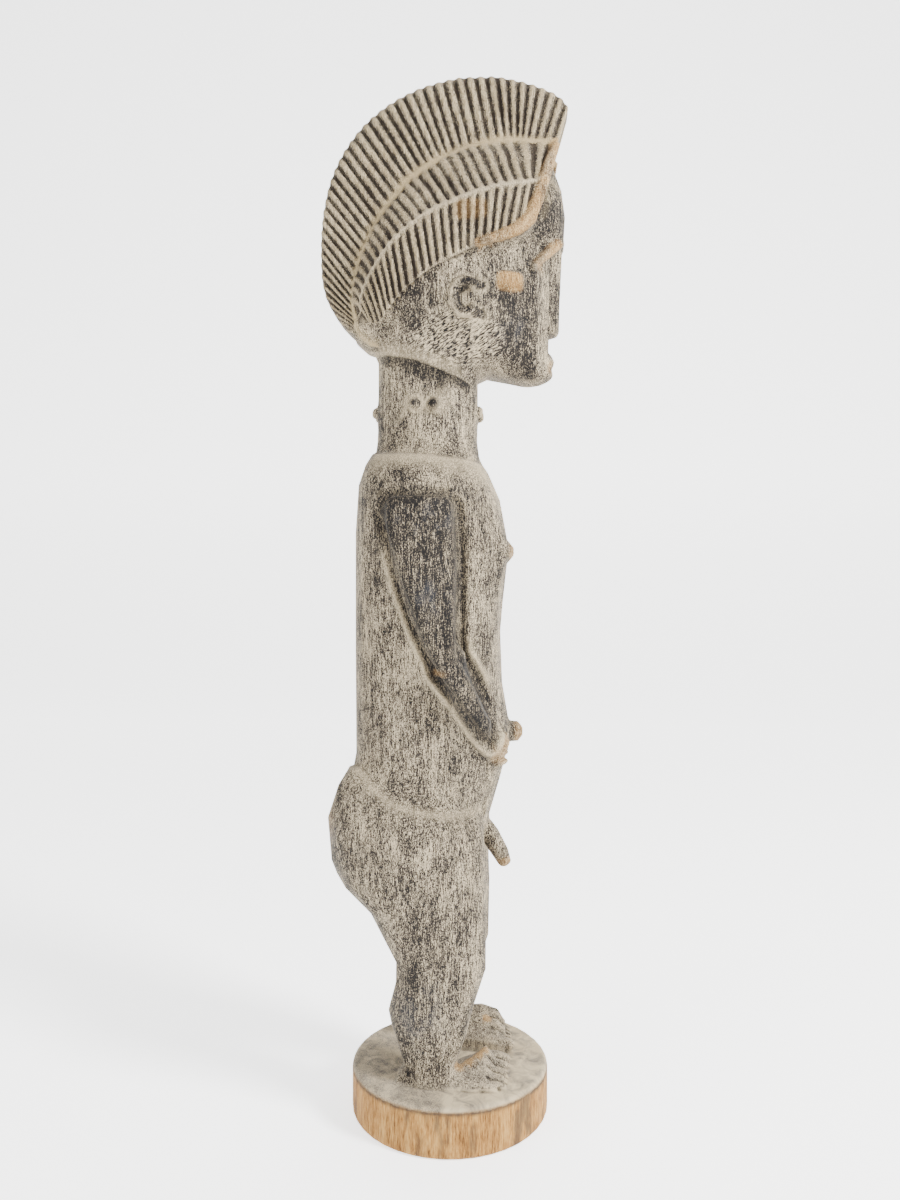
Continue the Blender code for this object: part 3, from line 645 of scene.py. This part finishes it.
# Where each painted line and shade starts and ends, and how strong it is.
paint = {
    "channelInside": 4.2,
    "channelOutside": 1.7,
    "edgeWidth": 1.1,
    "armFace": (0.5, 3),
    "cheek": {"strength": 1.2, "front": (37.4, 36.8), "back": (12, 32), "top": (338, 318),
              "bottom": (284, 290), "side": (5, 8)},
    "scarRing": {"out": 1.5, "width": 0.7, "dark": 1.8, "darkWidth": 1.7},
    "earRing": {"out": 1.5, "width": 0.6, "pale": 0.8, "dark": 1.3, "darkEdge": (0.5, -0.3)},
    "jawHighlight": {"strength": 0.8, "above": 0.9, "width": 0.7},
    "jawShadow": {"under": 1.1, "width": 0.9},
    "rimShadow": {"back": 1.2, "down": 3.6, "reach": (2.4, 1.2)},
    "plain": {"strength": 0.7, "low": (16, 6), "front": (-3, 4), "baseTop": (1.6, 0.4)},
    "crestDust": (0.86, 1),
    "lobeDust": (0.16, 0),
    "dustReach": 1.4,
    "hollowMost": 2,
    "rawTop": (-0.8, -1.8),
    "rawRadius": (39.5, 40.8),
    "rimLine": {"under": 2, "width": 0.9},
}


def spotted(parts, spots, power, inner):
    total = np.zeros(len(parts))
    for centre, half, strength in spots:
        for places in (parts, parts * (-1, 1, 1)):
            away = (np.abs((places - centre) / half) ** power).sum(1) ** (1 / power)
            total = np.maximum(total, strength * smoothStep(1, inner, away))
    return total


# Painted shade on the face's side plane behind its front edge, which turns away from the light, over its
# darker patina.
def cheekPaintedShade(parts):
    cheek = paint["cheek"]
    forward, height = parts[:, 1], parts[:, 2]
    level = cheek["strength"] * smoothStep(*cheek["front"], forward) * smoothStep(*cheek["back"], forward)
    level = level * smoothStep(*cheek["top"], height) * smoothStep(*cheek["bottom"], height)
    return level * smoothStep(*cheek["side"], np.abs(parts[:, 0]))


def rimShade(parts):  # the shadow just under the hair's front band
    shade = paint["rimShadow"]
    moved = np.column_stack((np.abs(parts[:, 0]), parts[:, 1] + shade["back"], parts[:, 2] + shade["down"]))
    return smoothStep(*shade["reach"], lineDistance(moved, bars["rim"]["path"]))


def plainShade(parts):
    plain = paint["plain"]
    height = parts[:, 2]
    onFeet = plain["strength"] * smoothStep(*plain["low"], height) * smoothStep(*plain["front"], parts[:, 1])
    return onFeet + smoothStep(*plain["baseTop"], height)


def armMarks(parts):  # the channel darkened as painted shade, the pale edge beside it and the arm's dark face
    distance, outside, near = armOutline(parts)
    width = np.where(outside, paint["channelOutside"], paint["channelInside"])
    edge = near * outside * trunkEdge(parts) * bell(distance - armPanel["edgeAway"], paint["edgeWidth"])
    return near * bell(distance, width), edge, near * ~outside * smoothStep(*paint["armFace"], distance)


def scarMarks(parts):  # pale ring, dark middle
    ring = paint["scarRing"]
    distance, oneSide = scarAt(parts)
    pale = oneSide * bell(distance - scars["size"] * ring["out"], ring["width"])
    return pale, ring["dark"] * oneSide * bell(distance, ring["darkWidth"])


# Painted highlight on the ear's rim and painted shade inside its hollow.
def earMarks(parts):
    ring = paint["earRing"]
    distance = lineDistance(parts[:, 1:], ear["path"])
    oneSide = sideFade(parts, ear["leastSide"], surface["sideFadeNarrow"])
    pale = ring["pale"] * oneSide * bell(distance - ear["width"] * ring["out"], ring["width"])
    outer, inner = (ear["width"] + reach for reach in ring["darkEdge"])
    return pale, ring["dark"] * oneSide * smoothStep(outer, inner, distance)


# Painted highlight along the jaw's edge and painted shadow on the neck under it.
def jawMarks(parts):
    above, near = jawSide(parts)
    pale, dark = paint["jawHighlight"], paint["jawShadow"]
    lit = pale["strength"] * near * bell(above - pale["above"], pale["width"])
    return lit, near * bell(above + dark["under"], dark["width"])


def dustMark(fall, band, gap):
    onLobe = smoothStep(*paint["lobeDust"], fall) * (band == 1)
    dust = np.where(band == 0, smoothStep(*paint["crestDust"], fall), onLobe)
    return dust * smoothStep(surface["reach"], paint["dustReach"], gap)


def paintMarks(figure, samples, tree, dense):
    mesh = figure.data
    points = readPoints(mesh)
    parts = partPlaces(points)
    number, fall, band, gap = combAt(parts, samples, tree)
    hollow = nearestValues(points, *dense)
    onSide = smoothStep(*paint["rawRadius"], np.hypot(parts[:, 0], parts[:, 1]))
    channel, armEdge, armFace = armMarks(parts)
    scarPale, scarDark = scarMarks(parts)
    earHighlight, earShade = earMarks(parts)
    jawHighlight, jawShadow = jawMarks(parts)
    marks = {
        # painted shade in the arm's channel, in the crack and between the toes
        "channel": np.maximum.reduce((channel, crackAt(parts), toeCuts(parts))),
        # pale edges and arrises, with painted highlights along the jaw and on the ear's rim
        "paleEdgeAndHighlight": np.maximum.reduce((
            armEdge, np.clip(creaseShape(parts, "pale"), 0, 1), arrisShape(fall, band, gap),
            scarPale, earHighlight, jawHighlight,
        )),
        # brown-black crust, the arm's dark face and the scars' dark middles, with painted shade under the
        # hair's front band, on the cheek's side, under the jaw and inside the ear
        "crustAndShade": np.maximum.reduce((
            armFace, spotted(parts, crustAndShade, 2, 0.3), scarDark, earShade, cheekPaintedShade(parts), jawShadow,
            rimShade(parts),
        )),
        "slanted": spotted(parts, slanted, 2, 0.5),
        "plain": plainShade(parts),
        "paintedLight": spotted(parts, paintedLight, 3, 0.5),
        "ridgeNumber": number,
        "combing": combStrength(number, fall, band, gap) * (1 - barAt(parts, "rim")),
        "bar": np.maximum(barAt(parts, "rim"), barAt(parts, "brow")),
        "valleyDust": dustMark(fall, band, gap),
        "hollow": np.clip(hollow, -paint["hollowMost"], paint["hollowMost"]),
        "worn": spotted(parts, worn, 4, 0.7),
        "polished": spotted(parts, polished, 2, 0.4),
        "rawSide": smoothStep(*paint["rawTop"], parts[:, 2]) * onSide,
        "rimLine": bell(parts[:, 2] + paint["rimLine"]["under"], paint["rimLine"]["width"]) * onSide,
    }
    for name, values in marks.items():
        attribute = mesh.attributes.new(name, "FLOAT", "POINT")
        attribute.data.foreach_set("value", values.astype(np.float32))
    mesh.shade_smooth()
    print("marks painted; hollow from %.2f to %.2f" % (hollow.min(), hollow.max()))


class Nodes:
    def __init__(self, material):
        self.tree = material.node_tree
        self.tree.nodes.clear()
        self.column = 0

    def add(self, kind, **settings):
        node = self.tree.nodes.new(kind)
        self.column += 1
        node.location = (self.column % 12 * 220 - 1400, -(self.column // 12) * 320)
        for name, value in settings.items():
            setattr(node, name, value)
        return node

    def link(self, start, end):
        self.tree.links.new(start, end)

    def mark(self, name):
        return self.add("ShaderNodeAttribute", attribute_name=name).outputs["Fac"]

    def noise(self, scale, stretch, detail=4.0, roughness=0.6, distortion=0.0, lean=0.0):
        mapping = self.add("ShaderNodeMapping", vector_type="TEXTURE")
        mapping.inputs["Rotation"].default_value = (lean, 0, 0)
        mapping.inputs["Scale"].default_value = [1 / share for share in stretch]
        self.link(self.coordinates, mapping.inputs["Vector"])
        texture = self.add("ShaderNodeTexNoise")
        texture.inputs["Scale"].default_value = scale
        texture.inputs["Detail"].default_value = detail
        texture.inputs["Roughness"].default_value = roughness
        texture.inputs["Distortion"].default_value = distortion
        self.link(mapping.outputs["Vector"], texture.inputs["Vector"])
        return texture.outputs["Fac"]

    def math(self, operation, first, second=None, third=None, clamp=False):
        node = self.add("ShaderNodeMath", operation=operation, use_clamp=clamp)
        for socket, value in zip(node.inputs, (first, second, third)):
            if value is None:
                continue
            if isinstance(value, (int, float)):
                socket.default_value = value
            else:
                self.link(value, socket)
        return node.outputs["Value"]

    def times(self, first, second):
        return self.math("MULTIPLY", first, second)

    def swing(self, value, amount, start):  # how far a pattern is from its middle, times the amount
        return self.math("MULTIPLY_ADD", self.math("SUBTRACT", value, 0.5), amount, start)

    def spread(self, value, low, high, start=0.0, end=1.0):
        node = self.add("ShaderNodeMapRange", interpolation_type="SMOOTHSTEP")
        self.link(value, node.inputs["Value"])
        for name, number in (("From Min", low), ("From Max", high), ("To Min", start), ("To Max", end)):
            node.inputs[name].default_value = number
        return node.outputs["Result"]

    def ramp(self, value, stops):
        node = self.add("ShaderNodeValToRGB")
        elements = node.color_ramp.elements
        while len(elements) < len(stops):
            elements.new(0.5)
        for element, (position, colour) in zip(elements, stops):
            element.position = position
            element.color = (*colour, 1)
        self.link(value, node.inputs["Fac"])
        return node.outputs["Color"]

    def mix(self, share, first, second, blend="MIX"):
        node = self.add("ShaderNodeMix", data_type="RGBA", blend_type=blend)
        for socket, value in ((node.inputs[0], share), (node.inputs[6], first), (node.inputs[7], second)):
            if isinstance(value, tuple):
                socket.default_value = (*value, 1)
            else:
                self.link(value, socket)
        return node.outputs[2]


patina = {
    "black": (0.0080, 0.0072, 0.0068),
    "brown": (0.050, 0.039, 0.029),
    "polishSheen": (0.030, 0.034, 0.043),
    "groove": (0.022, 0.0155, 0.0105),
    "grey": (0.160, 0.136, 0.106),
    "pale": (0.44, 0.360, 0.232),
    "dust": (0.35, 0.270, 0.145),
    "ash": (0.24, 0.255, 0.285),
    "bare": (0.21, 0.105, 0.033),
    "bareLight": (0.42, 0.275, 0.110),
    "raw": (0.24, 0.117, 0.032),
    "rawDark": (0.065, 0.028, 0.010),
    "rawPale": (0.41, 0.240, 0.075),
    "rawStain": (0.050, 0.034, 0.023),
}


# Each pattern: scale, stretch as (side, forward, height), detail, roughness, distortion, lean.
grain = {
    "fibres": (2300, (1, 1, 0.12), 3, 0.6),
    "pores": (3400, (1, 1, 0.5), 3, 0.65),
    "streaks": (520, (1, 1, 0.06), 4, 0.6, 0.3),
    "blotches": (110, (1, 1, 0.55), 5, 0.62, 0.4),
    "patches": (30, (1, 1, 0.6), 3, 0.55, 0.2),
    "leaning": (2100, (1, 1, 0.22), 3, 0.6, 0.2, math.radians(58)),
    "even": (150, (1, 1, 0.5), 5, 0.65, 0.8),
    "cool": (48, (1, 1, 0.5), 3),
    "ragged": (260, (1, 1, 1), 4),
    "raw": (1700, (1, 1, 0.12), 4, 0.7),
    "rawBands": (260, (1, 1, 0.2), 5, 0.65),
    "stain": (90, (1, 1, 0.3), 4),
}
# How much each pattern and mark lightens the patina, and where its colours stand on the ramp.
tones = {
    "start": 0.435,
    "fine": 6.6,
    "streaks": 1.0,
    "blotches": 1.2,
    "patches": 0.5,
    "polished": -0.14,
    "crustAndShade": -0.26,
    "paintedLight": 0.22,
    "slanted": 0.75,
    "plain": 0.72,
    "even": (1.3, 0.15),
    "places": (0.14, 0.36, 0.56, 0.92),
    "barePlaces": (0.38, 0.46, 0.60),
    "rawPlaces": (0.36, 0.47, 0.62),
}
# Each shade: the pattern's or mark's values at its start and end, then its strength there.
shades = {
    "cool": (0.46, 0.62, 0, 0.55),
    "bluishSheen": (0.50, 0.60, 0, 0.55),
    "dust": (0.3, 0.55, 0.45, 0.9),
    "raised": (-0.08, -0.35),
    "edge": (0.36, 0.58, 0.3, 0.8),
    "hollow": (0.08, 0.35),
    "hollowStainAndShade": (0.42, 0.58, 0.95, 0.5),
    "cut": (0.50, 0.26),
    "top": (0.5, 0.8),
    "groove": (0.36, 0.58, 0.95, 0.45),
    "worn": (0.30, 0.56, 0.45, 1.0),
    "bar": (0.40, 0.56, 0.30, 0.85),
    "stain": (0.52, 0.64, 0, 0.7),
    "rimLine": (0.4, 0.6, 0.8, 1),
    "rough": (0.35, 0.65, 0.62, 0.9),
}
finish = {
    "poreShare": 0.6,
    "fibreShare": 0.4,
    "combedEdge": -0.35,
    "plainEdge": 0.5,
    "ragged": 0.75,
    "ridgeDust": 0.45,
    "rubbed": 0.85,
    "rawFine": 0.6,
    "rawBroad": 0.4,
    "polish": -0.28,
    "specular": 0.1,
    "sheen": 0.05,
    "sheenRoughness": 0.30,
    "sheenTint": (0.9, 0.88, 0.84),
    "bump": 0.55,
    "bumpDepth": 0.0006,
    "streakBump": 0.5,
    "cutBump": -0.8,
}


def stops(places, *names):
    return tuple((place, patina[name]) for place, name in zip(places, names))


def fineGrain(nodes, fibres, pores):  # the tool's slanting marks take the grain's place where it was dragged
    fine = nodes.math("MULTIPLY_ADD", pores, finish["poreShare"], nodes.times(fibres, finish["fibreShare"]))
    leaning = nodes.noise(*grain["leaning"])
    slanted = nodes.times(nodes.mark("slanted"), tones["slanted"])
    return nodes.math("MULTIPLY_ADD", slanted, nodes.math("SUBTRACT", leaning, fine), fine)


def patinaColour(nodes, fine, streaks, blotches, polished):
    patches = nodes.noise(*grain["patches"])
    tone = nodes.swing(fine, tones["fine"], tones["start"])
    tone = nodes.swing(streaks, tones["streaks"], tone)
    tone = nodes.swing(blotches, tones["blotches"], tone)
    tone = nodes.swing(patches, tones["patches"], tone)
    tone = nodes.math("MULTIPLY_ADD", polished, tones["polished"], tone)
    tone = nodes.math("MULTIPLY_ADD", nodes.mark("crustAndShade"), tones["crustAndShade"], tone)
    tone = nodes.math("MULTIPLY_ADD", nodes.mark("paintedLight"), tones["paintedLight"], tone)
    plain = nodes.math("MULTIPLY", nodes.mark("plain"), tones["plain"], clamp=True)
    even = nodes.math("MULTIPLY_ADD", nodes.noise(*grain["even"]), *tones["even"])
    tone = nodes.math("MULTIPLY_ADD", plain, nodes.math("SUBTRACT", even, tone), tone)
    colour = nodes.ramp(tone, stops(tones["places"], "black", "brown", "grey", "pale"))
    cool = nodes.spread(nodes.noise(*grain["cool"]), *shades["cool"])
    colour = nodes.mix(cool, colour, patina["ash"], "SOFT_LIGHT")
    # Dark polish with a painted bluish sheen on the rubbed places.
    bluishSheen = nodes.times(polished, nodes.spread(blotches, *shades["bluishSheen"]))
    return nodes.mix(bluishSheen, colour, patina["polishSheen"])


def edgesAndHollows(nodes, colour, fine, pores, combing):
    hollow = nodes.mark("hollow")
    dusty = nodes.times(nodes.mark("valleyDust"), nodes.spread(pores, *shades["dust"]))
    colour = nodes.mix(dusty, colour, patina["dust"])
    combed = nodes.math("MULTIPLY_ADD", combing, finish["combedEdge"], finish["plainEdge"])
    edge = nodes.times(nodes.spread(hollow, *shades["raised"]), combed)
    edge = nodes.times(edge, nodes.math("SUBTRACT", 1, nodes.mark("crustAndShade"), clamp=True))
    edge = nodes.math("MAXIMUM", edge, nodes.mark("paleEdgeAndHighlight"))
    colour = nodes.mix(nodes.times(edge, nodes.spread(pores, *shades["edge"])), colour, patina["pale"])
    # Hollows and the channel mark go black: dark patina in the hollows together with painted shade.
    hollowStainAndShade = nodes.math("MAXIMUM", nodes.spread(hollow, *shades["hollow"]), nodes.mark("channel"))
    return nodes.mix(nodes.times(hollowStainAndShade, nodes.spread(fine, *shades["hollowStainAndShade"])), colour, patina["black"])


def combedHair(nodes, colour, blotches, combing):  # dusty ridges, dark ragged grooves
    across = nodes.math("SUBTRACT", nodes.math("FRACT", nodes.mark("ridgeNumber")), 0.5)
    away = nodes.times(nodes.math("ABSOLUTE", across), 2)
    ragged = nodes.swing(nodes.noise(*grain["ragged"]), finish["ragged"], away)
    cut = nodes.times(nodes.spread(ragged, *shades["cut"]), combing)
    top = nodes.times(nodes.spread(ragged, *shades["top"]), combing)
    colour = nodes.mix(nodes.times(top, finish["ridgeDust"]), colour, patina["dust"])
    cutTone = nodes.times(cut, nodes.spread(blotches, *shades["groove"]))
    return nodes.mix(cutTone, colour, patina["groove"]), cut


def bareWood(nodes, colour, fine, blotches):
    rubbed = nodes.times(nodes.mark("worn"), nodes.spread(blotches, *shades["worn"]))
    onBar = nodes.times(nodes.mark("bar"), nodes.spread(blotches, *shades["bar"]))
    rubbed = nodes.math("MAXIMUM", rubbed, onBar)
    bare = nodes.ramp(fine, stops(tones["barePlaces"], "brown", "bare", "bareLight"))
    return nodes.mix(nodes.times(rubbed, finish["rubbed"]), colour, bare)


def rawBase(nodes, colour, streaks):  # the base's untreated side, stained and dark under its upper edge
    bands = nodes.times(nodes.noise(*grain["rawBands"]), finish["rawBroad"])
    rawTone = nodes.math("MULTIPLY_ADD", nodes.noise(*grain["raw"]), finish["rawFine"], bands)
    raw = nodes.ramp(rawTone, stops(tones["rawPlaces"], "rawDark", "raw", "rawPale"))
    stain = nodes.spread(nodes.noise(*grain["stain"]), *shades["stain"])
    rimLine = nodes.times(nodes.mark("rimLine"), nodes.spread(streaks, *shades["rimLine"]))
    raw = nodes.mix(nodes.math("MAXIMUM", stain, rimLine), raw, patina["rawStain"])
    return nodes.mix(nodes.mark("rawSide"), colour, raw)


def agedWood():
    material = bpy.data.materials.new("agedWood")
    material.use_nodes = True
    nodes = Nodes(material)
    nodes.coordinates = nodes.add("ShaderNodeTexCoord").outputs["Object"]
    shader = nodes.add("ShaderNodeBsdfPrincipled")
    output = nodes.add("ShaderNodeOutputMaterial")
    nodes.link(shader.outputs["BSDF"], output.inputs["Surface"])

    pores = nodes.noise(*grain["pores"])
    streaks = nodes.noise(*grain["streaks"])
    blotches = nodes.noise(*grain["blotches"])
    polished = nodes.mark("polished")
    combing = nodes.mark("combing")
    fine = fineGrain(nodes, nodes.noise(*grain["fibres"]), pores)
    colour = patinaColour(nodes, fine, streaks, blotches, polished)
    colour = edgesAndHollows(nodes, colour, fine, pores, combing)
    colour, cut = combedHair(nodes, colour, blotches, combing)
    colour = bareWood(nodes, colour, fine, blotches)
    nodes.link(rawBase(nodes, colour, streaks), shader.inputs["Base Color"])

    rough = nodes.math("MULTIPLY_ADD", polished, finish["polish"], nodes.spread(fine, *shades["rough"]))
    nodes.link(rough, shader.inputs["Roughness"])
    shader.inputs["Metallic"].default_value = 0
    shader.inputs["Specular IOR Level"].default_value = finish["specular"]
    shader.inputs["Sheen Weight"].default_value = finish["sheen"]
    shader.inputs["Sheen Roughness"].default_value = finish["sheenRoughness"]
    shader.inputs["Sheen Tint"].default_value = (*finish["sheenTint"], 1)

    bump = nodes.add("ShaderNodeBump")
    bump.inputs["Strength"].default_value = finish["bump"]
    bump.inputs["Distance"].default_value = finish["bumpDepth"]
    relief = nodes.math("MULTIPLY_ADD", streaks, finish["streakBump"], fine)
    relief = nodes.math("MULTIPLY_ADD", cut, finish["cutBump"], relief)
    nodes.link(relief, bump.inputs["Height"])
    nodes.link(bump.outputs["Normal"], shader.inputs["Normal"])
    print("wood ready")
    return material


def buildFigure():
    figure = carvedCopy()
    applied(figure, "REMESH", mode="VOXEL", voxel_size=surface["voxel"] * millimetre)
    samples, tree = hairGuide()
    dense = carveRelief(figure, samples, tree)
    thinned(figure)
    paintMarks(figure, samples, tree, dense)
    figure.data.materials.append(agedWood())
    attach(figure, "root")
    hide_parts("figure")


studio = {
    "floorSize": 1.6,
    "floorFar": 1.2,  # where the sheet starts to curve up
    "floorWide": 1.5,  # half its width, in floor sizes
    "sheetTop": 2.4,
    "sweepSteps": 12,
    "floorColour": (0.90, 0.90, 0.895),
    "sweepRadius": 0.5,
    "worldStrength": 0.85,
    "floorGlow": 1.9,
    "aim": (0, 0, 0.24),
    "key": {"place": (-0.55, -1.0, 0.95), "size": 0.35, "watts": 56},
    "fill": {"place": (-0.7, 0.9, 0.5), "size": 0.8, "watts": 10},
}


def paleFloor():
    sheet = bmesh.new()
    half, radius, far = studio["floorSize"], studio["sweepRadius"], studio["floorFar"]
    wide = half * studio["floorWide"]
    profile = [(-half, 0), (far, 0)]
    for step in range(1, studio["sweepSteps"] + 1):
        turn = math.radians(90 * step / studio["sweepSteps"])
        profile.append((far + radius * math.sin(turn), radius - radius * math.cos(turn)))
    profile.append((far + radius, studio["sheetTop"]))
    edgePoints = [sheet.verts.new((x, -wide, z)) for x, z in profile]
    edges = [sheet.edges.new(pair) for pair in zip(edgePoints, edgePoints[1:])]
    swept = bmesh.ops.extrude_edge_only(sheet, edges=edges)["geom"]
    sweptPoints = [part for part in swept if isinstance(part, bmesh.types.BMVert)]
    bmesh.ops.translate(sheet, verts=sweptPoints, vec=(0, 2 * wide, 0))
    bmesh.ops.recalc_face_normals(sheet, faces=sheet.faces)
    mesh = bpy.data.meshes.new("floorSweep")
    sheet.to_mesh(mesh)
    sheet.free()
    mesh.shade_smooth()
    floor = bpy.data.objects.new("floorSweep", mesh)
    material = bpy.data.materials.new("paperWhite")
    material.use_nodes = True
    shader = material.node_tree.nodes["Principled BSDF"]
    shader.inputs["Base Color"].default_value = (*studio["floorColour"], 1)
    shader.inputs["Roughness"].default_value = 0.9
    shader.inputs["Emission Color"].default_value = (1, 1, 1, 1)
    shader.inputs["Emission Strength"].default_value = studio["floorGlow"]
    mesh.materials.append(material)
    bpy.context.scene.collection.objects.link(floor)


def lamp(name):
    light = bpy.data.lights.new(name, "AREA")
    light.shape = "DISK"
    light.size = studio[name]["size"]
    light.energy = studio[name]["watts"]
    holder = bpy.data.objects.new(name, light)
    holder.location = studio[name]["place"]
    towards = Vector(studio["aim"]) - holder.location
    holder.rotation_euler = towards.to_track_quat("-Z", "Y").to_euler()
    bpy.context.scene.collection.objects.link(holder)


view = {"azimuth": -86.0, "distance": 0.3922, "height": 0.2154, "focalPixels": 915.0, "frameTall": 1200.0}


def makeCamera():
    camera = bpy.data.cameras.new("photoCamera")
    camera.sensor_fit = "VERTICAL"
    camera.sensor_height = 24
    camera.lens = camera.sensor_height * view["focalPixels"] / view["frameTall"]
    camera.clip_start = 0.01
    holder = bpy.data.objects.new("photoCamera", camera)
    turn = math.radians(view["azimuth"])
    holder.location = (math.sin(turn) * view["distance"], -math.cos(turn) * view["distance"], view["height"])
    holder.rotation_euler = (math.pi / 2, 0, turn)
    bpy.context.scene.collection.objects.link(holder)
    bpy.context.scene.camera = holder


def softWorld():
    world = bpy.data.worlds.new("softWorld")
    world.use_nodes = True
    background = world.node_tree.nodes["Background"]
    background.inputs["Color"].default_value = (1, 1, 1, 1)
    background.inputs["Strength"].default_value = studio["worldStrength"]
    bpy.context.scene.world = world


buildFigure()
paleFloor()
lamp("key")
lamp("fill")
softWorld()
makeCamera()
print("studio ready")
